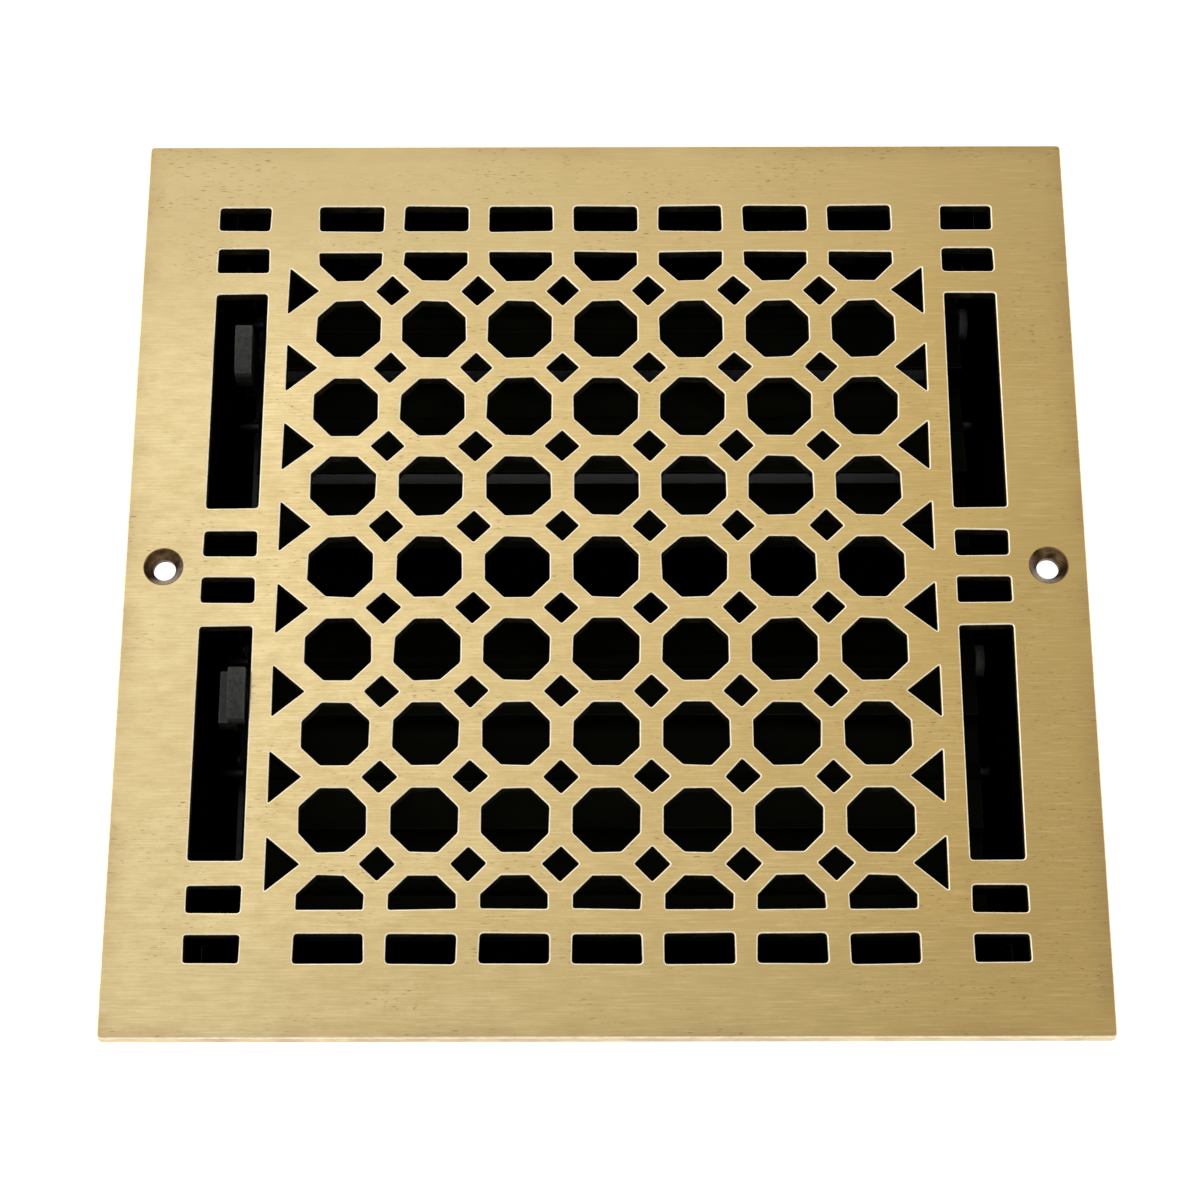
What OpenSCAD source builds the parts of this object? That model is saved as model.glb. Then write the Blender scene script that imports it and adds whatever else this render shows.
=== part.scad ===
// Square brass air grille with a two-bank louvre damper behind it.
//
// The grille lies face up: X runs across it, Y runs up its face, Z points out of the face.
// The origin is the middle of the damper box's open rear, on the surface that it stands on.
// Both banks are the same mechanism: three blades turn on pins in the side plates, a link bar
// joins their cranks, and a lever that stands on the link bar comes out through a slot.

/* [Grille face] */
// Width and height of the square face plate
face_size = 247.65; // [246:0.05:252]
// Thickness of the casting
face_thick = 3.8; // [3.4:0.1:4.2]
// Radius of the plate's four corners
corner_r = 1.4; // [0.5:0.1:3]
// Distance from one octagon to the next
pitch = 22.76; // [22.6:0.02:22.8]
// Width of an octagon across its flats, as a part of the pitch
octagon_part = 0.735; // [0.68:0.005:0.76]
// Corner to corner size of a diamond, as a part of the pitch
diamond_part = 0.395; // [0.34:0.005:0.42]

/* [Fixing holes] */
// Distance between the two fixing holes, in pitches
hole_span_pitches = 10; // [9.9:0.02:10.1]
// Diameter of the fixing hole
hole_d = 5.75; // [4.5:0.05:6.2]
// Diameter of the countersink at the face
sink_d = 9.6; // [8.5:0.1:10.4]
// Depth of the countersink
sink_depth = 2.4; // [1.8:0.1:2.8]

/* [Damper box] */
// Distance from the face to the open rear
total_depth = 40; // [39.5:0.1:44]
// Half of the box's inner width
box_half = 98.4; // [98.2:0.05:98.6]
// Sheet thickness of the box
sheet = 1.2; // [1:0.05:1.3]
// Width of the folded edge round the open rear
rear_fold = 5; // [4:0.1:5.4]
// Width of the flange that lies behind the face
flange_w = 6.8; // [6:0.1:6.9]
// Half of the centre rail's flange
rail_half = 6.8; // [5:0.1:7.4]

/* [Blades] */
// Distance from one blade's pivot to the next
blade_pitch = 30.6; // [30.5:0.05:30.7]
// Distance from the grille's middle line to the outermost pivot
outer_pivot = 79.7; // [79.5:0.05:79.9]
// Width of a blade
blade_w = 32; // [31.4:0.1:32]
// Sheet thickness of a blade
blade_sheet = 1; // [0.8:0.05:1]
// Outer radius of the bead rolled along a blade
bead_r = 2.6; // [2.4:0.05:2.8]
// Depth of the pivots below the face
pivot_depth = 20.6; // [20.5:0.05:20.8]
// Opening angle of the upper bank at rest, from lying flat
upper_open = 15; // [12:0.5:18]
// Opening angle of the lower bank at rest, from lying flat
lower_open = 8; // [6:0.5:10]

/* [Link and lever] */
// Distance from a blade's pivot to its crank pin
crank_r = 11; // [10.8:0.05:11.1]
// Direction of the crank when the blade lies flat, from straight down
crank_lean = 45; // [44:0.5:46]
// Height of the link bar
bar_h = 7; // [6.5:0.1:7.4]
// Distance from the first crank pin back to the lever
lever_back = 18.6; // [18.4:0.1:18.7]
// Width of the lever, across the slot
lever_w = 4.4; // [4.2:0.05:4.4]
// Width of the lever's stem, along the slot
lever_t = 4.6; // [4.2:0.1:4.6]
// Length of the lever's thumb pad, along the slot
pad_len = 13.8; // [12:0.1:14]
// Height of the lever's top above the crank pins
lever_rise = 32.1; // [31.8:0.1:32.6]

/* [Hidden] */
BLADES = [1, 2, 3];
BANKS = ["upper", "lower"];
function names(tail) = [for (bank = BANKS) str(bank, "_", tail)];
function blade_names(tail) = [for (bank = BANKS, i = BLADES) str(bank, "_", tail, "_", i)];

$fn = 48;
BRASS = "#c9ae6e";
BLACK = "#26282a";
IRON = "#3a3a38";
ZINC = "#b9bcc0";
NYLON = "#4c4b48";

face_z = total_depth;
back_z = face_z - face_thick;
cut = 1;                                  // how far a cutter runs past what it cuts
fit = 0.02;                               // radial gap of a pin that is fixed
run = 0.06;                               // radial gap of a pin that turns

// Face pattern, in pitches from the middle
octagon_w = octagon_part * pitch;
octagon_round = 0.979;                    // corner radius circle, as a part of the corner distance
diamond_w = diamond_part * pitch / sqrt(2);
triangle_base = 3.71 * pitch;
triangle_tip = 3.35 * pitch;
triangle_h = 0.61 * pitch;
half_octagon_cut = 4.01 * pitch;
edge_rect_y = 4.455 * pitch;
edge_rect = [0.75 * pitch, 0.335 * pitch];
column_x = 4.26 * pitch;
column_w = 0.6 * pitch;
slot_in = 0.72 * pitch;
slot_out = 3.46 * pitch;
small_rect_h = 0.31 * pitch;
small_rect_y = [0.285 * pitch, 3.9 * pitch, 4.455 * pitch];

// Damper box
box_outer = box_half + sheet;
tab_len = 14;
corner_rivet_y = box_half - 7.4;
corner_rivet_z = [11, 27];
rivet_r = 1.6;
rivet_head_r = 2.8;
rivet_head = 0.9;
rail_tab = 10.4;
rail_tab_z = [5, 31];
rail_rivet_z = [10, 26];
rail_web_bottom = 3;

// Clips that hold the box to the casting
clip_x = 66;
clip_w = 14;
boss_y = 110.4;
boss_r = 3.6;
boss_h = 3;
screw_r = 1.5;
screw_depth = 4;
clip_z = back_z - boss_h;
clip_reach = boss_y + 4.4;
clip_leg_bottom = 17;
clip_rivet_z = 23;

// Pivots
pivot_z = face_z - pivot_depth;
pin_r = 1.5;
pin_grip = 16;
pin_end = box_outer + 0.3;
blade_left = -box_half + 5.3;
blade_right = box_half - 2.4;
washer_t = 2.2;
washer_r = 4.2;

// Cranks, link bar and lever, from the side plate inwards
crank_sheet = 1;
crank_root_r = 4;
crank_eye_r = 3.1;
crank_arm = 5.4;
sheet_left = blade_left + 0.2;
crank_pin_r = 1.25;
crank_head_r = 2.1;
bar_t = 1.5;
bar_right = blade_left - 0.6;
bar_left = bar_right - bar_t;
lever_left = bar_right + 0.1 - lever_w;
lever_foot = [bar_left - 0.1 - lever_left, 10.5];
lever_rivet_dy = 3.1;
lever_neck = 14.5;                        // where the stem widens, above the crank pins
pad_drop = 1.7;                           // how much lower the pad is at its far end
pad_low = 26.4;                           // underside of the pad's own block, above the crank pins
pad_set = [0, 2.3];                       // how far each bank's pad is set in from its stem

// Where bank b's blade i turns: bank 0 is the upper one, and blade 1 is the top one of its bank
function pivot_y(b, i) = b == 0 ? outer_pivot - (i - 1) * blade_pitch
                                : (i - 3) * -blade_pitch - outer_pivot;
function open_angle(b) = b == 0 ? upper_open : lower_open;
// The crank pin as seen from its pivot, at rest: [y, z]
function crank_offset(b) = crank_r * [sin(crank_lean - open_angle(b)), -cos(crank_lean - open_angle(b))];

// A cylinder along X from x0 to x1
module rod_x(x0, x1, r) {
    translate([x0, 0, 0]) rotate([0, 90, 0]) cylinder(h = x1 - x0, r = r);
}

// A cylinder along Y from y0 to y1
module rod_y(y0, y1, r) {
    translate([0, y0, 0]) rotate([-90, 0, 0]) cylinder(h = y1 - y0, r = r);
}

// A box from one corner to the opposite one
module block(a, b) {
    translate(a) cube(b - a);
}

module mirrored(direction) {
    children();
    mirror(direction) children();
}

// ---- Grille face ----

module rounded_rect(w, h, r) {
    square([w - 2 * r, h], center = true);
    square([w, h - 2 * r], center = true);
    for (x = [-1, 1], y = [-1, 1])
        translate([x * (w / 2 - r), y * (h / 2 - r)]) circle(r = r);
}

module octagon(w) {
    corner = w / 2 / cos(22.5);
    intersection() {
        rotate(22.5) circle(r = corner, $fn = 8);
        circle(r = corner * octagon_round);
    }
}

module octagon_field() {
    for (i = [-3 : 3], j = [-3 : 3])
        translate([i, j] * pitch) octagon(octagon_w);
}

module diamond_field() {
    for (i = [-2.5 : 2.5], j = [-3.5 : 3.5])
        translate([i, j] * pitch) rotate(45) rounded_rect(diamond_w, diamond_w, 0.5);
}

// Octagons cut off by the plain band above the field
module half_octagons() {
    for (i = [-3 : 3])
        translate([i * pitch, 0]) intersection() {
            translate([0, 4 * pitch]) octagon(octagon_w);
            translate([-pitch, 0]) square([2 * pitch, half_octagon_cut]);
        }
}

// Triangles that point into the field, down its right-hand side
module side_triangles() {
    for (j = [-3.5 : 3.5])
        translate([0, j * pitch])
            polygon([[triangle_tip, 0], [triangle_base, triangle_h / 2], [triangle_base, -triangle_h / 2]]);
}

module edge_rects() {
    for (i = [-3 : 3])
        translate([i * pitch, edge_rect_y]) rounded_rect(edge_rect[0], edge_rect[1], 0.6);
}

// The right-hand column above the middle line: one long slot and three small openings
module column_openings() {
    translate([column_x, (slot_in + slot_out) / 2]) rounded_rect(column_w, slot_out - slot_in, 0.6);
    for (y = small_rect_y)
        translate([column_x, y]) rounded_rect(column_w, small_rect_h, 0.6);
}

module face_openings() {
    octagon_field();
    diamond_field();
    mirrored([0, 1]) half_octagons();
    mirrored([0, 1]) edge_rects();
    mirrored([1, 0]) side_triangles();
    mirrored([1, 0]) mirrored([0, 1]) column_openings();
}

module fixing_hole() {
    translate([0, 0, back_z - cut]) cylinder(h = face_thick + 2 * cut, d = hole_d);
    translate([0, 0, face_z - sink_depth]) cylinder(h = sink_depth, d1 = hole_d, d2 = sink_d);
    translate([0, 0, face_z]) cylinder(h = cut, d = sink_d);
}

module at_clips() {
    for (x = [-clip_x, clip_x]) mirrored([0, 1, 0]) translate([x, 0, 0]) children();
}

module grille_face() {
    color(BRASS) difference() {
        union() {
            translate([0, 0, back_z]) linear_extrude(face_thick) difference() {
                rounded_rect(face_size, face_size, corner_r);
                face_openings();
            }
            at_clips() translate([0, boss_y, clip_z]) cylinder(h = boss_h + cut, r = boss_r);
        }
        for (x = [-1, 1]) translate([x * hole_span_pitches * pitch / 2, 0, 0]) fixing_hole();
        at_clips() translate([0, boss_y, clip_z - cut]) cylinder(h = screw_depth + cut, r = screw_r + fit);
    }
}

// ---- Damper box ----

// The side wall on the +X side, folded in at the rear and out behind the face
module side_plate() {
    flange_end = box_outer + flange_w;
    color(BLACK) difference() {
        union() {
            block([box_half, -box_outer, 0], [box_outer, box_outer, back_z]);
            block([box_half - rear_fold, -box_half, 0], [box_outer, box_half, sheet]);
            block([box_half, -box_outer, back_z - sheet], [flange_end, box_outer, back_z]);
            block([box_outer, -flange_end, back_z - sheet], [flange_end, flange_end, back_z]);
        }
        for (b = [0, 1], i = BLADES)
            translate([0, pivot_y(b, i), pivot_z]) rod_x(box_half - cut, box_outer + cut, pin_r + run);
        mirrored([0, 1, 0]) for (z = corner_rivet_z)
            translate([0, corner_rivet_y, z]) rod_x(box_half - cut, box_outer + cut, rivet_r + fit);
        for (z = rail_rivet_z)
            translate([0, -rail_tab / 2 - 0.6, z]) rod_x(box_half - cut, box_outer + cut, rivet_r + fit);
    }
}

module right_side_plate() side_plate();
module left_side_plate() mirror([1, 0, 0]) side_plate();

// The end wall on the +Y side, folded like the side walls and also at both corners
module end_plate() {
    color(BLACK) difference() {
        union() {
            block([-box_half, box_half, 0], [box_half, box_outer, back_z]);
            block([-box_half + rear_fold, box_half - rear_fold, 0],
                  [box_half - rear_fold, box_outer, sheet]);
            mirrored([1, 0, 0])
                block([box_half - sheet, box_half - tab_len, 4], [box_half, box_outer, back_z - 2]);
            block([-box_half, box_half, back_z - sheet], [box_half, box_outer, back_z]);
            block([-box_outer, box_outer, back_z - sheet], [box_outer, box_outer + flange_w, back_z]);
        }
        mirrored([1, 0, 0]) for (z = corner_rivet_z)
            translate([0, corner_rivet_y, z]) rod_x(box_half - sheet - cut, box_half + cut, rivet_r + fit);
        for (x = [-clip_x, clip_x])
            translate([x, 0, clip_rivet_z]) rod_y(box_half - cut, box_outer + cut, rivet_r + fit);
    }
}

module upper_end_plate() end_plate();
module lower_end_plate() mirror([0, 1, 0]) end_plate();

// T-shaped rail between the banks: flange behind the face, web down between the blades
module centre_rail() {
    color(BLACK) difference() {
        union() {
            block([-box_half, -rail_half, back_z - sheet], [box_half, rail_half, back_z]);
            block([-box_half, -0.6, rail_web_bottom], [box_half, 0.6, back_z]);
            mirrored([1, 0, 0])
                block([box_half - sheet, -rail_tab - 0.6, rail_tab_z[0]], [box_half, 0.6, rail_tab_z[1]]);
        }
        for (z = rail_rivet_z)
            translate([0, -rail_tab / 2 - 0.6, z]) rod_x(-box_half - cut, box_half + cut, rivet_r + fit);
    }
}

// A flat-headed rivet through the side wall and one folded tab inside it
module side_rivet() {
    rod_x(box_half - sheet - 0.6, box_outer + rivet_head, rivet_r);
    rod_x(box_half - sheet - 0.6, box_half - sheet, rivet_head_r);
    rod_x(box_outer, box_outer + rivet_head, rivet_head_r);
}

module corner_rivets() {
    color(BLACK) mirrored([1, 0, 0]) mirrored([0, 1, 0]) for (z = corner_rivet_z)
        translate([0, corner_rivet_y, z]) side_rivet();
}

module rail_rivets() {
    color(BLACK) mirrored([1, 0, 0]) for (z = rail_rivet_z)
        translate([0, -rail_tab / 2 - 0.6, z]) side_rivet();
}

// ---- Clips between the box and the casting ----

module fixing_clips() {
    color(BLACK) at_clips() difference() {
        union() {
            block([-clip_w / 2, box_outer, clip_z - sheet], [clip_w / 2, clip_reach, clip_z]);
            block([-clip_w / 2, box_outer, clip_leg_bottom], [clip_w / 2, box_outer + sheet, clip_z]);
        }
        translate([0, boss_y, clip_z - sheet - cut]) cylinder(h = sheet + 2 * cut, r = screw_r + fit);
        translate([0, 0, clip_rivet_z]) rod_y(box_outer - cut, box_outer + sheet + cut, rivet_r + fit);
    }
}

module clip_screws() {
    color(ZINC) at_clips() translate([0, boss_y, 0]) {
        translate([0, 0, clip_z - sheet]) cylinder(h = sheet + screw_depth - 0.5, r = screw_r);
        difference() {
            translate([0, 0, clip_z - sheet - 2]) cylinder(h = 2, r = 2.9);
            translate([0, 0, clip_z - sheet - 1.6]) block([-4, -0.4, -cut], [4, 0.4, 0.2]);
        }
    }
}

module clip_rivets() {
    color(BLACK) at_clips() translate([0, 0, clip_rivet_z]) {
        rod_y(box_half - 0.6, box_outer + sheet + rivet_head, rivet_r);
        rod_y(box_half - 0.6, box_half, rivet_head_r);
        rod_y(box_outer + sheet, box_outer + sheet + rivet_head, rivet_head_r);
    }
}

// ---- Blades ----

// Puts its children at a pivot, in the frame of a blade that lies flat
module at_pivot(b, i) {
    translate([0, pivot_y(b, i), pivot_z]) rotate([-open_angle(b), 0, 0]) children();
}

// The crank pin's centre in the frame of a blade that lies flat
module at_flat_crank() {
    translate([0, crank_r * sin(crank_lean), -crank_r * cos(crank_lean)]) children();
}

// Sheet folded down from the blade's left end, with the crank pin's hole in it
module crank_tab() {
    translate([blade_left, 0, 0]) rotate([90, 0, 90]) linear_extrude(crank_sheet) {
        circle(r = crank_root_r);
        rotate(crank_lean) {
            translate([-crank_arm / 2, -crank_r]) square([crank_arm, crank_r]);
            translate([0, -crank_r]) circle(r = crank_eye_r);
        }
    }
}

// Flat sheet rolled round the pivot pins along its middle, with one crank
module blade(b, i) {
    color(BLACK) at_pivot(b, i) difference() {
        union() {
            block([sheet_left, -blade_w / 2, -blade_sheet / 2], [blade_right, blade_w / 2, blade_sheet / 2]);
            rod_x(sheet_left, blade_right, bead_r);
            crank_tab();
        }
        rod_x(blade_left - cut, blade_right + cut, pin_r + fit);
        at_flat_crank() rod_x(blade_left - cut, blade_left + crank_sheet + cut, crank_pin_r + fit);
    }
}

// Pins pressed into both ends of the bead
module pivot_pins(b, i) {
    color(ZINC) at_pivot(b, i) {
        rod_x(-pin_end, blade_left + pin_grip, pin_r);
        rod_x(blade_right - pin_grip, pin_end, pin_r);
    }
}

// Pin riveted into the crank, with a head that keeps the link bar on
module crank_pin(b, i) {
    color(ZINC) at_pivot(b, i) at_flat_crank() {
        rod_x(bar_left - 1, blade_left + crank_sheet + 0.7, crank_pin_r);
        rod_x(bar_left - 1, bar_left - 0.08, crank_head_r);
        rod_x(blade_left + crank_sheet, blade_left + crank_sheet + 0.7, crank_head_r);
    }
}

// Sprung washer that holds the bank where it is set
module friction_washer(b) {
    color(NYLON) at_pivot(b, 1) difference() {
        rod_x(blade_right + 0.1, blade_right + 0.1 + washer_t, washer_r);
        rod_x(blade_right, blade_right + washer_t + cut, pin_r + fit);
    }
}

// ---- Link bars and levers ----

// Puts its children at a crank pin, upright whatever the blades do
module at_crank(b, i) {
    translate(concat([0], [pivot_y(b, i), pivot_z] + crank_offset(b))) children();
}

module at_lever(b) {
    at_crank(b, 1) translate([0, -lever_back, 0]) children();
}

module lever_rivet_holes(gap) {
    for (y = [-lever_rivet_dy, lever_rivet_dy])
        translate([0, y, 0]) rod_x(lever_left - cut, bar_right + cut, 1.2 + gap);
}

module link_bar(b) {
    color(BLACK) difference() {
        at_crank(b, 3) {
            block([bar_left, 0, -bar_h / 2], [bar_right, 2 * blade_pitch, bar_h / 2]);
            for (y = [0, 2 * blade_pitch]) translate([0, y, 0]) rod_x(bar_left, bar_right, bar_h / 2);
        }
        for (i = BLADES) at_crank(b, i) rod_x(bar_left - cut, bar_right + cut, crank_pin_r + run);
        at_lever(b) lever_rivet_holes(fit);
    }
}

// Spacers that hold the link bar off the cranks
module link_washers(b) {
    color(NYLON) for (i = BLADES) at_crank(b, i) difference() {
        rod_x(bar_right, bar_right + 0.5, 3);
        rod_x(bar_right - cut, bar_right + cut, crank_pin_r + run);
    }
}

// Outlines of the stem and of the thumb pad, seen along the blades: [y, z]
function stem_outline() =
    let (near = lever_t / 2, far = near - pad_len, low = bar_h / 2 + 0.2)
    [[near, low], [near, pad_low + 1.2], [far, pad_low + 1.2], [far, lever_neck + 8],
     [-near, lever_neck], [-near, low]];
function pad_outline() =
    let (near = lever_t / 2, far = near - pad_len, top = lever_rise, end_top = lever_rise - pad_drop)
    [[near, pad_low], [near, top - 0.9], [near - 0.6, top - 0.2], [near - 3.9, top],
     [far + 1.8, end_top], [far + 0.5, end_top - 0.7], [far, end_top - 2], [far, pad_low]];

// Upright stem with a thumb pad on top and a thinner foot that lies against the link bar
module lever(b) {
    color(IRON) at_lever(b) difference() {
        union() {
            block([lever_left, -lever_foot[1] / 2, -bar_h / 2],
                  [lever_left + lever_foot[0], lever_foot[1] / 2, bar_h / 2 + 0.4]);
            translate([lever_left, 0, 0]) rotate([90, 0, 90])
                linear_extrude(lever_w) polygon(stem_outline());
            translate([lever_left + pad_set[b], 0, 0]) rotate([90, 0, 90])
                linear_extrude(lever_w) polygon(pad_outline());
        }
        lever_rivet_holes(fit);
    }
}

module lever_rivets(b) {
    color(IRON) at_lever(b) for (y = [-lever_rivet_dy, lever_rivet_dy])
        translate([0, y, 0]) rod_x(lever_left, bar_right, 1.2);
}

// ---- Every node ----

grille_face();
left_side_plate();
right_side_plate();
upper_end_plate();
lower_end_plate();
centre_rail();
corner_rivets();
rail_rivets();
fixing_clips();
clip_screws();
clip_rivets();
for (b = [0, 1]) {
    for (i = BLADES) {
        blade(b, i);
        pivot_pins(b, i);
        crank_pin(b, i);
    }
    link_bar(b);
    link_washers(b);
    lever(b);
    lever_rivets(b);
    friction_washer(b);
}
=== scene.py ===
import math
import random

import bmesh
import bpy
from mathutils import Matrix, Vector


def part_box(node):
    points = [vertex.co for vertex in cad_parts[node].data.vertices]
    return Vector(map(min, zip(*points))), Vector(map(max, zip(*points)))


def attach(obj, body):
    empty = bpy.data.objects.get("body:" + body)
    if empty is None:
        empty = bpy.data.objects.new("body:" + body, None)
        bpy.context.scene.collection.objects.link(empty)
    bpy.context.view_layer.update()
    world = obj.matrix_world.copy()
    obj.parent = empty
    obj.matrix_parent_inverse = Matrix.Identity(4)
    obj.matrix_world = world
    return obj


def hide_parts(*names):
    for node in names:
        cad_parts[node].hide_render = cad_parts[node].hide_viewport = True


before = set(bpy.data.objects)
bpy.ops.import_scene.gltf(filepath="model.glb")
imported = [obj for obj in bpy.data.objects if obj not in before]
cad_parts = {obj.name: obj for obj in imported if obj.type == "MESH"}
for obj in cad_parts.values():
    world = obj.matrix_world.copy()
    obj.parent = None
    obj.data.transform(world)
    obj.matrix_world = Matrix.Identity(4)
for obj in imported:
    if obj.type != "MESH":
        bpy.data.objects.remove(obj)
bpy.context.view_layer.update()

MM = 0.001
SHEET = 1.2 * MM                         # the damper box's sheet
PLATE = 3.8 * MM                         # thickness of the casting
face_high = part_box("grille_face")[1]
FACE = face_high.z                       # the front of the face
HALF = face_high.x                       # half of the square plate
BACK = FACE - PLATE                      # its back
BOX_IN = abs(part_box("centre_rail")[0].x)  # from the middle to the box's walls, inside
BOX_OUT = BOX_IN + SHEET                  # and outside

# The face's pattern
PITCH = 22.76 * MM                       # from one octagon to the next
OCTAGON_W = 0.735 * PITCH                # across an octagon's flats
DIAMOND_W = 0.395 * PITCH                # across a diamond's corners
TRIANGLE_TIP, TRIANGLE_BASE = 3.35 * PITCH, 3.71 * PITCH    # from the middle, across the plate
TRIANGLE_HALF = 0.305 * PITCH            # half of a triangle's base
END_CUT_Y = 4.01 * PITCH                 # where the half octagons stop
END_ROW_Y = 4.455 * PITCH                # the last row of rectangles
END_W, END_HIGH = 0.75 * PITCH, 0.335 * PITCH
COLUMN_X, COLUMN_W = 4.26 * PITCH, 0.6 * PITCH              # the columns of slots at both sides
SLOT_LOW, SLOT_HIGH = 0.72, 3.46         # ends of a lever's slot, in pitches
SMALL_ROWS, SMALL_HIGH = (0.285, 3.9, 4.455), 0.31          # the columns' small slots, in pitches
OCTAGON_ROUND, HALF_ROUND, END_ROUND = 1.1 * MM, 0.55 * MM, 1.0 * MM    # corner radii
DIAMOND_ROUND, TRIANGLE_ROUND, SLOT_ROUND = 0.45 * MM, 0.22 * MM, 0.9 * MM
WANDER, SLOT_WANDER = 0.19 * MM, 0.14 * MM                  # how far a corner strays

# The casting's edges, screw holes and bosses
ROUND, PLATE_ROUND = 0.36 * MM, 0.45 * MM    # rims of the openings, and of the plate
CHAMFER, PLATE_CHAMFER = 0.25 * MM, 0.3 * MM
PLATE_CORNER = 1.4 * MM
HOLE_X, HOLE_R = 5 * PITCH, 2.875 * MM   # fixing holes
SINK_R, SINK_DEPTH = 4.8 * MM, 2.4 * MM  # and their countersinks
BOSS_X, BOSS_Y = 66 * MM, 110.4 * MM     # bosses for the clips' screws
BOSS_R, BOSS_HIGH, PILOT_R = 3.6 * MM, 3 * MM, 1.52 * MM
BOSS_FOOT, BOSS_CHAMFER = 0.3 * MM, 0.2 * MM
PILOT_INTO_PLATE = 1 * MM
BOSS_SIDES = 32

# Angles above which an edge counts as sharp
SHARP_FACE, SHARP_PART = math.radians(35), math.radians(40)


# ---- Procedural materials ----

class Finish:
    """One node-built material. Its methods add nodes and return their output sockets."""

    def __init__(self, name, metallic=0.0, roughness=0.5, **sockets):
        self.material = bpy.data.materials.new(name)
        self.material.use_nodes = True
        self.tree = self.material.node_tree
        self.shader = self.tree.nodes["Principled BSDF"]
        self.shader.inputs["Metallic"].default_value = metallic
        self.shader.inputs["Roughness"].default_value = roughness
        for key, value in sockets.items():
            self.shader.inputs[key.replace("_", " ")].default_value = value
        self.place = self.tree.nodes.new("ShaderNodeTexCoord").outputs["Object"]

    def add(self, kind, inputs, **settings):
        made = self.tree.nodes.new("ShaderNode" + kind)
        for key, value in settings.items():
            setattr(made, key, value)
        for socket, value in inputs.items():
            if isinstance(value, bpy.types.NodeSocket):
                self.tree.links.new(value, made.inputs[socket])
            else:
                made.inputs[socket].default_value = value
        return made

    def noise(self, scale, stretch=(1, 1, 1), detail=3.0, rough=0.55, shift=(0, 0, 0)):
        moved = self.add("Mapping", {"Vector": self.place, "Scale": stretch, "Location": shift})
        made = self.add("TexNoise", {"Vector": moved.outputs[0], "Scale": scale, "Detail": detail,
                                     "Roughness": rough})
        return made.outputs["Fac"]

    def ramp(self, value, low, high, to_low=0.0, to_high=1.0):
        made = self.add("MapRange", {"Value": value, "From Min": low, "From Max": high,
                                     "To Min": to_low, "To Max": to_high}, clamp=True)
        return made.outputs["Result"]

    def math(self, operation, a, b=0.0):
        return self.add("Math", {0: a, 1: b}, operation=operation).outputs[0]

    def mix(self, factor, a, b, blend="MIX"):
        made = self.add("Mix", {"Factor": factor}, data_type="RGBA", blend_type=blend)
        for socket, value in ((made.inputs[6], a), (made.inputs[7], b)):
            if isinstance(value, bpy.types.NodeSocket):
                self.tree.links.new(value, socket)
            else:
                socket.default_value = (*value, 1.0)
        return made.outputs[2]

    def axis(self, which):
        parts = self.add("SeparateXYZ", {"Vector": self.place})
        return parts.outputs[which]

    def worn_and_lit_edges(self, radius):
        """1 on edges and 0 on flats, from the difference between the true and a rounded normal."""
        soft = self.add("Bevel", {"Radius": radius}, samples=4).outputs[0]
        flat = self.add("NewGeometry", {}).outputs["Normal"]
        dot = self.add("VectorMath", {0: soft, 1: flat}, operation="DOT_PRODUCT")
        return self.ramp(dot.outputs["Value"], 0.995, 0.9)

    def set(self, color, roughness, height, bump, distance):
        """Joins the colour, roughness and bump to the shader. Returns the material."""
        raised = self.add("Bump", {"Height": height, "Strength": bump, "Distance": distance})
        for name, value in (("Base Color", color), ("Roughness", roughness),
                            ("Normal", raised.outputs[0])):
            self.tree.links.new(value, self.shader.inputs[name])
        return self.material


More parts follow.
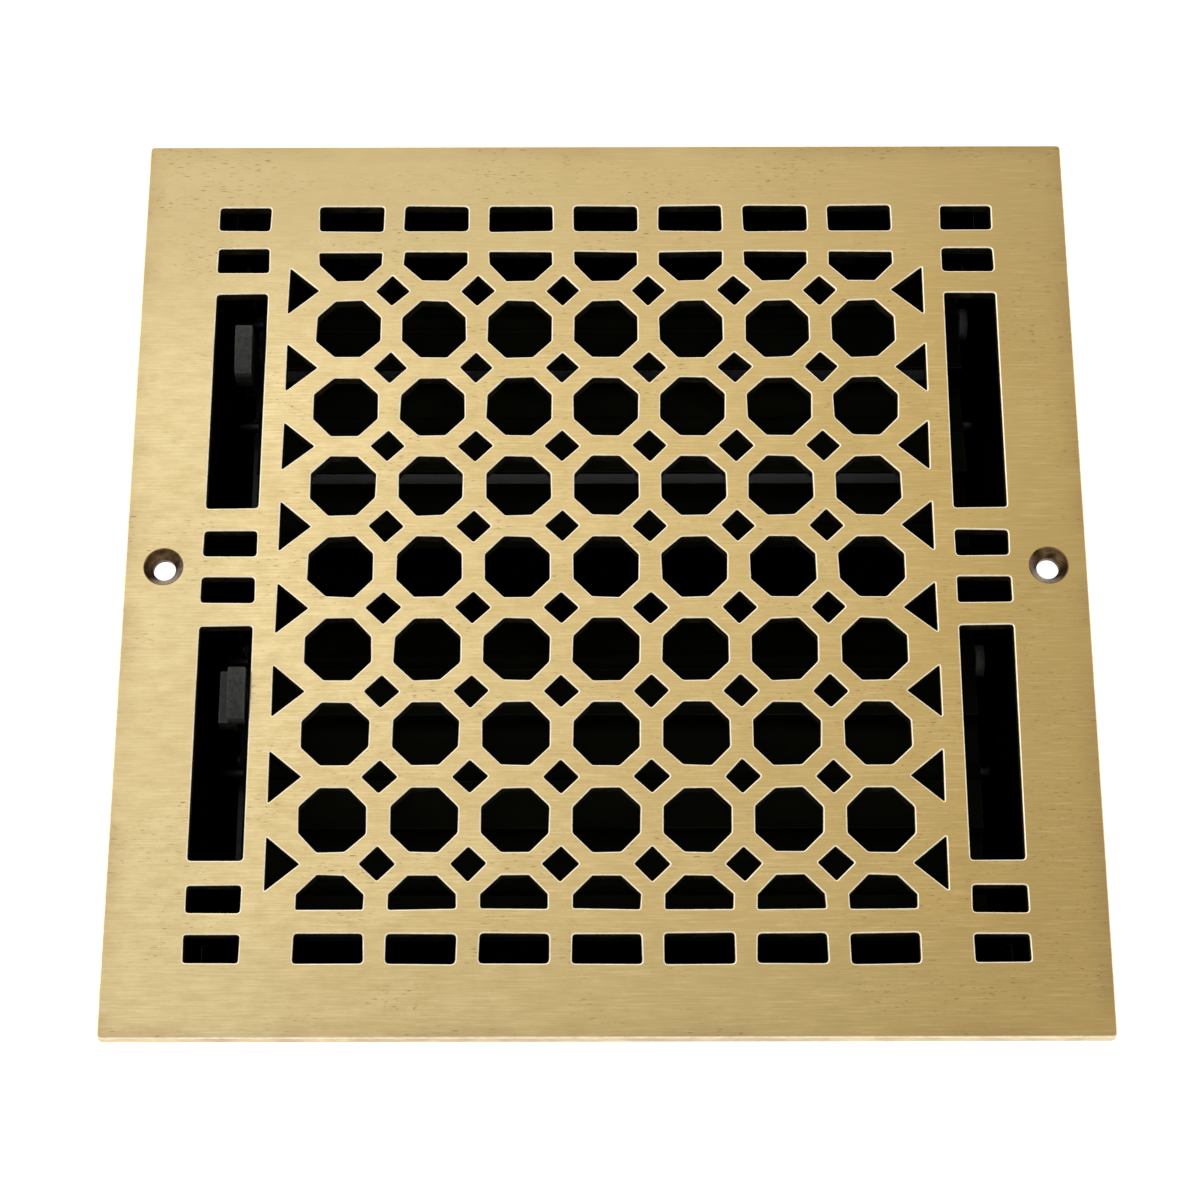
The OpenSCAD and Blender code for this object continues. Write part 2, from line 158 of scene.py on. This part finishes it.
def brushed_brass():
    """Satin antique brass, brushed along X, with tarnish in its pits and browner near the plate's
    border;
    paler to the left and darker to the right, which is partly tarnish and partly painted light."""
    f = Finish("brass_brushed", metallic=1.0)
    x, y = f.axis("X"), f.axis("Y")
    strokes = f.noise(1000, (0.085, 2.0, 1), detail=4, rough=0.65)
    grain = f.noise(1000, (0.3, 4.2, 1), detail=2, rough=0.6, shift=(3, 1, 0))
    clouds = f.noise(150, (1, 1.9, 1), detail=5, rough=0.7, shift=(2, 0, 0))
    patches = f.noise(16, (1, 1.6, 1), detail=3, shift=(0.4, 0, 0))
    pits = f.noise(1000, (0.42, 2.3, 1), detail=2, rough=0.5, shift=(7, 2, 0))
    groups = f.noise(60, (0.7, 1.3, 1), detail=2, shift=(0, 5, 0))
    # Painted light, partly tarnish: pale cream at the left, where the light falls, to dark brown at
    # the right
    across = f.ramp(f.math("ADD", x, f.ramp(patches, 0.3, 0.7, -0.022, 0.022)), -0.11, 0.12)
    tone = f.mix(across, (0.86, 0.705, 0.39), (0.62, 0.41, 0.125))
    tone = f.mix(f.ramp(patches, 0.35, 0.72, 0.0, 0.22), tone, (0.60, 0.45, 0.21))
    tone = f.mix(f.ramp(clouds, 0.36, 0.62, 0.38, 0.0), tone, (0.52, 0.38, 0.14))
    tone = f.mix(f.ramp(strokes, 0.38, 0.6, 0.30, 0.0), tone, (0.42, 0.29, 0.10))
    tone = f.mix(f.ramp(strokes, 0.56, 0.72, 0.0, 0.28), tone, (1.0, 0.86, 0.56))
    far = f.math("MAXIMUM", f.math("ABSOLUTE", x), f.math("ABSOLUTE", y))
    tone = f.mix(f.ramp(far, HALF - 0.034, HALF - 0.018, 0.0, 0.22), tone, (0.48, 0.37, 0.17))
    aged = f.math("MULTIPLY", f.ramp(y, 0.05, 0.1), f.ramp(x, 0.06, -0.07, 0.25, 0.65))
    tone = f.mix(aged, tone, (0.50, 0.38, 0.18))
    border = f.math("MULTIPLY", f.ramp(far, HALF - 0.006, HALF), f.ramp(groups, 0.3, 0.6))
    tone = f.mix(f.math("MULTIPLY", border, 0.4), tone, (0.36, 0.23, 0.10))
    pitted = f.math("MULTIPLY", f.ramp(pits, 0.63, 0.70), f.ramp(groups, 0.46, 0.6))
    tone = f.mix(f.math("MULTIPLY", pitted, 0.55), tone, (0.20, 0.12, 0.04))
    rough = f.math("ADD", f.ramp(strokes, 0.3, 0.7, 0.33, 0.45), f.math("MULTIPLY", pitted, 0.2))
    height = f.math("SUBTRACT", f.math("ADD", strokes, f.math("MULTIPLY", grain, 0.5)), pitted)
    return f.set(tone, rough, height, bump=0.22, distance=0.00006)


def rim_with_painted_glow():
    """The rounded edge of each opening, rubbed bright, with a faint warm glow that paints a
    highlight on it.
    """
    f = Finish("brass_rim", metallic=1.0, Emission_Color=(1, 0.82, 0.52, 1), Emission_Strength=0.14)
    wear = f.noise(420, detail=3)
    streak = f.noise(1000, (0.4, 2.0, 1), detail=2)
    tone = f.mix(f.ramp(wear, 0.35, 0.65), (0.90, 0.77, 0.52), (1.0, 0.93, 0.77))
    tone = f.mix(f.ramp(streak, 0.66, 0.78, 0.0, 0.4), tone, (0.50, 0.35, 0.17))
    return f.set(tone, f.ramp(wear, 0.3, 0.7, 0.22, 0.4), streak, bump=0.12, distance=0.00004)


def dark_cut_wall():
    """The openings' walls: as cast, near black like the inside of the box, partly darkened brass
    and partly painted shade in the narrow openings.
    """
    f = Finish("brass_cut_wall", metallic=0.35, Specular_IOR_Level=0.12)
    wall_mottle = f.noise(260, (1, 1, 1.6), detail=4)
    grit = f.noise(1500, detail=2)
    tone = f.mix(f.ramp(wall_mottle, 0.4, 0.75), (0.009, 0.008, 0.005), (0.045, 0.033, 0.016))
    return f.set(tone, f.ramp(grit, 0.3, 0.7, 0.5, 0.75), grit, bump=0.5, distance=0.00012)


def cast_back():
    """The rear of the casting: dull, sandy and tarnished."""
    f = Finish("brass_cast_back", metallic=0.85)
    sand = f.noise(900, detail=4, rough=0.6)
    stain = f.noise(40, detail=4)
    tone = f.mix(f.ramp(stain, 0.3, 0.7), (0.20, 0.125, 0.055), (0.36, 0.25, 0.115))
    tone = f.mix(f.ramp(sand, 0.3, 0.55, 0.5, 0.0), tone, (0.09, 0.06, 0.03))
    return f.set(tone, f.ramp(sand, 0.3, 0.7, 0.5, 0.72), sand, bump=0.7, distance=0.0003)


def copper_sink():
    """Countersinks, where the drill has cut through the antique finish."""
    f = Finish("brass_countersink", metallic=1.0)
    turned = f.noise(900, (1, 1, 5), detail=3)
    stain = f.noise(330, detail=3)
    tone = f.mix(f.ramp(stain, 0.35, 0.65), (0.05, 0.03, 0.014), (0.28, 0.175, 0.085))
    return f.set(tone, f.ramp(turned, 0.3, 0.7, 0.28, 0.42), turned, bump=0.35, distance=0.0001)


def outer_edge():
    """The plate's outer side, filed square and left with a darker, streaked skin."""
    f = Finish("brass_edge", metallic=1.0)
    filed = f.noise(1000, (0.08, 0.08, 2.2), detail=3)
    stain = f.noise(120, detail=4)
    tone = f.mix(f.ramp(stain, 0.35, 0.7), (0.50, 0.36, 0.17), (0.72, 0.57, 0.30))
    tone = f.mix(f.ramp(filed, 0.55, 0.75, 0.0, 0.6), tone, (0.24, 0.15, 0.07))
    return f.set(tone, f.ramp(filed, 0.3, 0.7, 0.3, 0.45), filed, bump=0.3, distance=0.00008)


def black_paint(name, tint, gloss, edge_wear_and_light=0.55):
    """Black paint that has picked up dust, and at its edges has rubbed towards bare steel; the
    lighter edges also paint thin highlights along them.
    """
    f = Finish(name, Specular_IOR_Level=gloss)
    orange = f.noise(700, detail=2, rough=0.4)
    dust = f.noise(55, (1, 1.5, 1), detail=5)
    scuff = f.noise(1000, (0.05, 0.9, 0.9), detail=3)
    tone = f.mix(f.ramp(dust, 0.4, 0.75), tint, [2.2 * c for c in tint])
    # Lighter edges: partly wear to bare steel, partly a painted highlight
    edge = f.math("MULTIPLY", f.worn_and_lit_edges(0.0003), f.ramp(scuff, 0.35, 0.6))
    tone = f.mix(f.math("MULTIPLY", edge, edge_wear_and_light), tone, (0.16, 0.16, 0.15))
    rough = f.math("ADD", f.ramp(scuff, 0.3, 0.7, 0.34, 0.5), f.ramp(dust, 0.4, 0.8, 0.0, 0.12))
    height = f.math("ADD", orange, f.math("MULTIPLY", scuff, 0.3))
    return f.set(tone, rough, height, bump=0.25, distance=0.00015)


def lever_iron():
    """Cast levers: rough, with painted light: grey at the top, fading to black lower down where the
    slot shades them, and painted highlights on their edges.
    """
    f = Finish("lever_iron", metallic=0.25, Specular_IOR_Level=0.3)
    cast = f.noise(1100, detail=4, rough=0.65)
    top_fade_noise = f.noise(260, detail=3)
    # Painted light and shade: grey near the face's level, fading to black deeper in the slot
    height = f.math("ADD", f.axis("Z"), f.ramp(top_fade_noise, 0.3, 0.7, -0.002, 0.002))
    painted_lit_top = f.ramp(height, FACE - 0.009, FACE + 0.002)
    tone = f.mix(painted_lit_top, (0.005, 0.005, 0.004), (0.036, 0.036, 0.031))
    # Painted highlight along the edges, partly also wear
    tone = f.mix(f.math("MULTIPLY", f.worn_and_lit_edges(0.0004), 0.5), tone, (0.15, 0.15, 0.13))
    tone = f.mix(f.ramp(cast, 0.35, 0.55, 0.75, 0.0), tone, (0.008, 0.008, 0.007))
    return f.set(tone, f.ramp(cast, 0.3, 0.7, 0.42, 0.62), cast, bump=0.7, distance=0.00022)


def zinc_plate(name, shade):
    """Zinc-plated steel with a faint yellow bloom and dull patches."""
    f = Finish(name, metallic=1.0)
    bloom = f.noise(180, detail=3)
    fine = f.noise(1300, detail=3)
    tone = f.mix(f.ramp(bloom, 0.35, 0.7), [shade * c for c in (1, 1.02, 1.05)],
                 [shade * c for c in (0.75, 0.72, 0.62)])
    tone = f.mix(f.math("MULTIPLY", f.worn_and_lit_edges(0.0002), 0.4), tone, [1.7 * shade] * 3)
    return f.set(tone, f.ramp(fine, 0.3, 0.7, 0.3, 0.48), fine, bump=0.25, distance=0.0001)


def nylon():
    """Dark moulded nylon washers."""
    f = Finish("nylon", Specular_IOR_Level=0.4)
    mottled = f.noise(700, detail=3)
    tone = f.mix(f.ramp(mottled, 0.35, 0.65), (0.05, 0.049, 0.045), (0.09, 0.088, 0.08))
    return f.set(tone, f.ramp(mottled, 0.3, 0.7, 0.42, 0.55), mottled, bump=0.3, distance=0.0001)


# ---- Outlines of the face's openings ----

chance = random.Random(11)


def jitter(size):
    return chance.uniform(-size, size)


def rounded(corners, radius, steps=3):
    """A convex outline with each corner turned into a short curve."""
    made = []
    for k, corner in enumerate(corners):
        before, after = corners[k - 1], corners[(k + 1) % len(corners)]
        a, b = (before - corner).normalized(), (after - corner).normalized()
        opening = a.angle(b)
        shorter = min((before - corner).length, (after - corner).length)
        back = min(radius / math.tan(opening / 2), 0.45 * shorter)
        start, end = corner + a * back, corner + b * back
        for s in range(steps + 1):
            t = s / steps
            made.append(start * (1 - t) ** 2 + corner * (2 * t * (1 - t)) + end * t ** 2)
    return made


def hand_filed(corners, radius, wander=WANDER):
    """A rounded outline whose corners stray a little, as in a sand casting filed by hand."""
    moved = [c + Vector((jitter(wander), jitter(wander))) for c in corners]
    return rounded(moved, radius * chance.uniform(0.8, 1.25))


def octagon_corners(cx, cy):
    reach = OCTAGON_W / 2 / math.cos(math.radians(22.5))
    turns = [math.radians(22.5 + 45 * k) for k in range(8)]
    return [Vector((cx + reach * math.cos(t), cy + reach * math.sin(t))) for t in turns]


def below(corners, limit):
    """The part of a convex outline with y up to the limit."""
    kept = []
    for k, p in enumerate(corners):
        q = corners[(k + 1) % len(corners)]
        if p.y <= limit:
            kept.append(p)
        if (p.y <= limit) != (q.y <= limit):
            kept.append(p.lerp(q, (limit - p.y) / (q.y - p.y)))
    return kept


def rect_corners(cx, cy, w, h):
    sides = ((-1, -1), (1, -1), (1, 1), (-1, 1))
    return [Vector((cx + sx * w / 2, cy + sy * h / 2)) for sx, sy in sides]


def circle(cx, cy, radius, count=48):
    turns = [2 * math.pi * k / count for k in range(count)]
    return [Vector((cx + radius * math.cos(t), cy + radius * math.sin(t))) for t in turns]


def mirror_y(corners):
    return [Vector((c.x, -c.y)) for c in reversed(corners)]


def mirror_x(corners):
    return [Vector((-c.x, c.y)) for c in reversed(corners)]


def opening_outlines():
    """Every opening's outline, anticlockwise."""
    made = []
    for i in range(-3, 4):
        for j in range(-3, 4):
            made.append(hand_filed(octagon_corners(i * PITCH, j * PITCH), OCTAGON_ROUND))
        half = below(octagon_corners(i * PITCH, 4 * PITCH), END_CUT_Y)
        rect = rect_corners(i * PITCH, END_ROW_Y, END_W, END_HIGH)
        for turn in (list, mirror_y):
            made.append(hand_filed(turn(half), HALF_ROUND))
            made.append(hand_filed(turn(rect), END_ROUND))
    reach = DIAMOND_W / 2
    for i in range(-3, 3):
        for j in range(-4, 4):
            cx, cy = (i + 0.5) * PITCH, (j + 0.5) * PITCH
            diamond = [Vector((cx + reach, cy)), Vector((cx, cy + reach)),
                       Vector((cx - reach, cy)), Vector((cx, cy - reach))]
            made.append(hand_filed(diamond, DIAMOND_ROUND))
    for j in range(-4, 4):
        cy = (j + 0.5) * PITCH
        triangle = [Vector((TRIANGLE_TIP, cy)), Vector((TRIANGLE_BASE, cy - TRIANGLE_HALF)),
                    Vector((TRIANGLE_BASE, cy + TRIANGLE_HALF))]
        for turn in (list, mirror_x):
            made.append(hand_filed(turn(triangle), TRIANGLE_ROUND))
    lever_slot = ((SLOT_LOW + SLOT_HIGH) / 2, SLOT_HIGH - SLOT_LOW)
    for y, height in [lever_slot] + [(row, SMALL_HIGH) for row in SMALL_ROWS]:
        rect = rect_corners(COLUMN_X, y * PITCH, COLUMN_W, height * PITCH)
        for side_turn in (list, mirror_x):
            for turn in (list, mirror_y):
                made.append(hand_filed(turn(side_turn(rect)), SLOT_ROUND, SLOT_WANDER))
    return made


def grown(outline, by):
    """A convex outline moved outwards along its corners' bisectors."""
    made = []
    for k, p in enumerate(outline):
        a = p - outline[k - 1]
        b = outline[(k + 1) % len(outline)] - p
        na, nb = Vector((a.y, -a.x)).normalized(), Vector((b.y, -b.x)).normalized()
        middle = na + nb
        made.append(p + middle * (by * 2 / middle.length_squared))
    return made


# ---- The face, as one closed mesh ----

FRONT, RIM, WALL, REAR, SINK, EDGE = range(6)    # its finishes, in the order of its slots


def loft(bm, rings, finishes):
    """Joins rings of points by strips of faces, one finish a strip. Returns the vertices."""
    made = [[bm.verts.new((p.x, p.y, z)) for p in points] for points, z in rings]
    for k, finish in enumerate(finishes):
        upper, lower = made[k], made[k + 1]
        for n in range(len(upper)):
            m = (n + 1) % len(upper)
            face = bm.faces.new((upper[n], upper[m], lower[m], lower[n]))
            face.material_index = finish
            face.smooth = True
    return made


def fill(bm, loops, finish, upwards):
    """Fills the flat region that the loops of vertices bound."""
    edges = [bm.edges.get((loop[n - 1], loop[n])) for loop in loops for n in range(len(loop))]
    made = bmesh.ops.triangle_fill(bm, use_beauty=True, use_dissolve=False, edges=edges,
                                   normal=(0, 0, 1 if upwards else -1))["geom"]
    for g in made:
        if isinstance(g, bmesh.types.BMFace):
            g.material_index = finish
            if (g.normal.z > 0) != upwards:
                g.normal_flip()


def quarter_round(outline, radius, out=1):
    """Rings of a rounded rim. It is widest at the front of the face, and ends in the outline."""
    rings = []
    for step in range(4):
        t = math.radians(30 * step)
        ring = grown(outline, out * radius * (1 - math.sin(t)))
        rings.append((ring, FACE - radius * (1 - math.cos(t))))
    return rings


def build_face():
    """The casting: its openings, holes and border run from front to back, and the two flat
    sides are filled between them."""
    bm = bmesh.new()
    fronts, backs = [], []

    def cut(rings, finishes):
        made = loft(bm, rings, finishes)
        fronts.append(made[0])
        backs.append(made[-1])

    for outline in opening_outlines():
        rings = quarter_round(outline, ROUND)
        rings += [(outline, BACK + CHAMFER), (grown(outline, CHAMFER), BACK)]
        cut(rings, [RIM, RIM, RIM, WALL, REAR])
    for x in (-HOLE_X, HOLE_X):
        rings = quarter_round(circle(x, 0, SINK_R), ROUND)
        rings += [(circle(x, 0, HOLE_R), FACE - SINK_DEPTH), (circle(x, 0, HOLE_R), BACK)]
        cut(rings, [SINK] * 5)
    border = rounded(rect_corners(0, 0, 2 * HALF, 2 * HALF), PLATE_CORNER, 6)
    rings = quarter_round(border, PLATE_ROUND, out=-1)
    rings += [(border, BACK + PLATE_CHAMFER), (grown(border, -PLATE_CHAMFER), BACK)]
    cut(rings, [RIM, RIM, EDGE, EDGE, REAR])
    tip = BACK - BOSS_HIGH
    for x in (-BOSS_X, BOSS_X):
        for y in (-BOSS_Y, BOSS_Y):
            foot = circle(x, y, BOSS_R + BOSS_FOOT, BOSS_SIDES)
            outer, inner = circle(x, y, BOSS_R, BOSS_SIDES), circle(x, y, PILOT_R, BOSS_SIDES)
            deep = [(foot, BACK), (outer, BACK - BOSS_FOOT), (outer, tip + BOSS_CHAMFER),
                    (grown(outer, -BOSS_CHAMFER), tip), (inner, tip),
                    (inner, BACK + PILOT_INTO_PLATE)]
            made = loft(bm, deep, [REAR] * 5)
            backs.append(made[0])
            bm.faces.new(made[-1]).material_index = REAR
    fill(bm, fronts, FRONT, True)
    fill(bm, backs, REAR, False)
    bmesh.ops.recalc_face_normals(bm, faces=bm.faces[:])
    for edge in bm.edges:
        if len(edge.link_faces) == 2:
            a, b = edge.link_faces
            sharp = a.normal.angle(b.normal, 0.0) > SHARP_FACE
            if sharp or a.material_index != b.material_index:
                edge.smooth = False
    mesh = bpy.data.meshes.new("grille_casting")
    bm.to_mesh(mesh)
    bm.free()
    plate = bpy.data.objects.new("grille_casting", mesh)
    bpy.context.scene.collection.objects.link(plate)
    for finish in (brushed_brass, rim_with_painted_glow, dark_cut_wall, cast_back, copper_sink, outer_edge):
        mesh.materials.append(finish())
    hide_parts("grille_face")
    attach(plate, "frame")


build_face()


# ---- The CAD parts, with rounded edges and finishes ----

def dress(node, finish, radius):
    """Gives a CAD node its finish, and rounds its edges by modifiers."""
    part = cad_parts[node]
    part.data.materials.clear()
    part.data.materials.append(finish)
    weld = part.modifiers.new("weld", "WELD")
    weld.merge_threshold = 1e-6
    bevel = part.modifiers.new("bevel", "BEVEL")
    bevel.limit_method = "ANGLE"
    bevel.angle_limit = SHARP_PART
    bevel.width = radius
    bevel.segments = 2
    bevel.harden_normals = True


def shade_inside_box(node, finish):
    """Gives the faces inside the box, and those against the plate's back, their own finish: a black
    that paints the shade falling on them.
    """
    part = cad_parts[node]
    part.data.materials.append(finish)
    for face in part.data.polygons:
        inside = max(abs(face.center.x), abs(face.center.y)) < BOX_IN + 0.1 * MM
        if inside or (face.normal.z > 0.5 and face.center.z > BACK - 1 * MM):
            face.material_index = 1


shell_paint = black_paint("box_paint", (0.012, 0.012, 0.011), 0.3)
# A near-zero black with no gloss: painted shade on the box's inside, its flanges and the centre
# rail
shade_black_paint = black_paint("inner_painted_shade", (0.0002, 0.0002, 0.0002), 0.0, 0.0)
blade_paint = black_paint("blade_paint", (0.003, 0.0036, 0.0010), 0.02, 0.3)
iron, washer = lever_iron(), nylon()
zinc, dull_zinc = zinc_plate("zinc_plate", 0.4), zinc_plate("zinc_dull", 0.07)

# Radii of the rounded edges
FINE_EDGE, RIVET_EDGE, PIN_EDGE = 0.15 * MM, 0.25 * MM, 0.12 * MM
LEVER_EDGE, WASHER_EDGE = 0.45 * MM, 0.1 * MM

for name in ("left_side_plate", "right_side_plate", "upper_end_plate", "lower_end_plate"):
    dress(name, shell_paint, FINE_EDGE)
    shade_inside_box(name, shade_black_paint)
for name in ("corner_rivets", "rail_rivets"):
    dress(name, shell_paint, RIVET_EDGE)
# The centre rail takes the painted-shade black
dress("centre_rail", shade_black_paint, FINE_EDGE)
for name in ("fixing_clips", "clip_rivets"):
    dress(name, shell_paint, FINE_EDGE)
dress("clip_screws", zinc, FINE_EDGE)
for bank in ("upper", "lower"):
    dress(f"{bank}_link_bar", shell_paint, FINE_EDGE)
    for number in (1, 2, 3):
        dress(f"{bank}_blade_{number}", blade_paint, FINE_EDGE)
        for part in ("pivot_pins", "crank_pin"):
            dress(f"{bank}_{part}_{number}", dull_zinc, PIN_EDGE)
    dress(f"{bank}_lever", iron, LEVER_EDGE)
    dress(f"{bank}_lever_rivets", iron, FINE_EDGE)
    for part in ("link_washers", "friction_washer"):
        dress(f"{bank}_{part}", washer, WASHER_EDGE)


# ---- Floor, lights and camera ----

def floor():
    """A plain pale floor. It glows to a clean white, but not under the damper box."""
    bpy.ops.mesh.primitive_plane_add(size=12, location=(0, 0, 0))
    ground = bpy.context.object
    ground.name = "floor"
    f = Finish("floor_white", roughness=0.9, Specular_IOR_Level=0.0)
    paper = f.noise(9, detail=3)
    far = f.math("MAXIMUM", f.math("ABSOLUTE", f.axis("X")), f.math("ABSOLUTE", f.axis("Y")))
    glow = f.math("MULTIPLY", f.math("GREATER_THAN", far, BOX_OUT), 0.8)
    f.tree.links.new(glow, f.shader.inputs["Emission Strength"])
    f.shader.inputs["Emission Color"].default_value = (1, 1, 1, 1)
    shade = f.mix(f.ramp(paper, 0.3, 0.7), (0.80, 0.80, 0.80), (0.84, 0.84, 0.84))
    f.tree.links.new(shade, f.shader.inputs["Base Color"])
    ground.data.materials.append(f.material)


def softbox(name, place, width, height, power):
    """A rectangular light, in watts, that points at the grille."""
    lamp = bpy.data.lights.new(name, "AREA")
    lamp.shape, lamp.size, lamp.size_y = "RECTANGLE", width, height
    lamp.energy = power
    made = bpy.data.objects.new(name, lamp)
    made.location = place
    aim = Vector((0, 0, 0.03)) - Vector(place)
    made.rotation_euler = aim.to_track_quat("-Z", "Y").to_euler()
    bpy.context.scene.collection.objects.link(made)


floor()
softbox("key", (-0.45, 0.7, 1.25), 1.4, 1.3, 4.4)
softbox("fill", (-1.2, -0.4, 0.6), 0.9, 0.9, 1.5)

# A soft tent of light, brightest near the horizon
world = bpy.data.worlds.new("studio")
world.use_nodes = True
tent = world.node_tree
up = tent.nodes.new("ShaderNodeSeparateXYZ")
tent.links.new(tent.nodes.new("ShaderNodeTexCoord").outputs["Generated"], up.inputs[0])
fade = tent.nodes.new("ShaderNodeMapRange")
fade.inputs["From Min"].default_value, fade.inputs["From Max"].default_value = 0.15, 0.55
fade.inputs["To Min"].default_value, fade.inputs["To Max"].default_value = 1.4, 0.6
tent.links.new(up.outputs["Z"], fade.inputs["Value"])
tent.nodes["Background"].inputs["Color"].default_value = (1, 1, 1, 1)
tent.links.new(fade.outputs["Result"], tent.nodes["Background"].inputs["Strength"])
bpy.context.scene.world = world

# The camera stands at the photograph's viewing angle
lens = bpy.data.cameras.new("camera")
lens.sensor_width = 36
lens.lens = 92.44
lens.clip_start, lens.clip_end = 0.01, 50
camera = bpy.data.objects.new("camera", lens)
camera.location = (0.0001, -0.3044, 0.7713)
camera.rotation_euler = (math.radians(21.965), math.radians(0.150), math.radians(-0.051))
bpy.context.scene.collection.objects.link(camera)
bpy.context.scene.camera = camera
bpy.context.scene.view_settings.view_transform = "Standard"
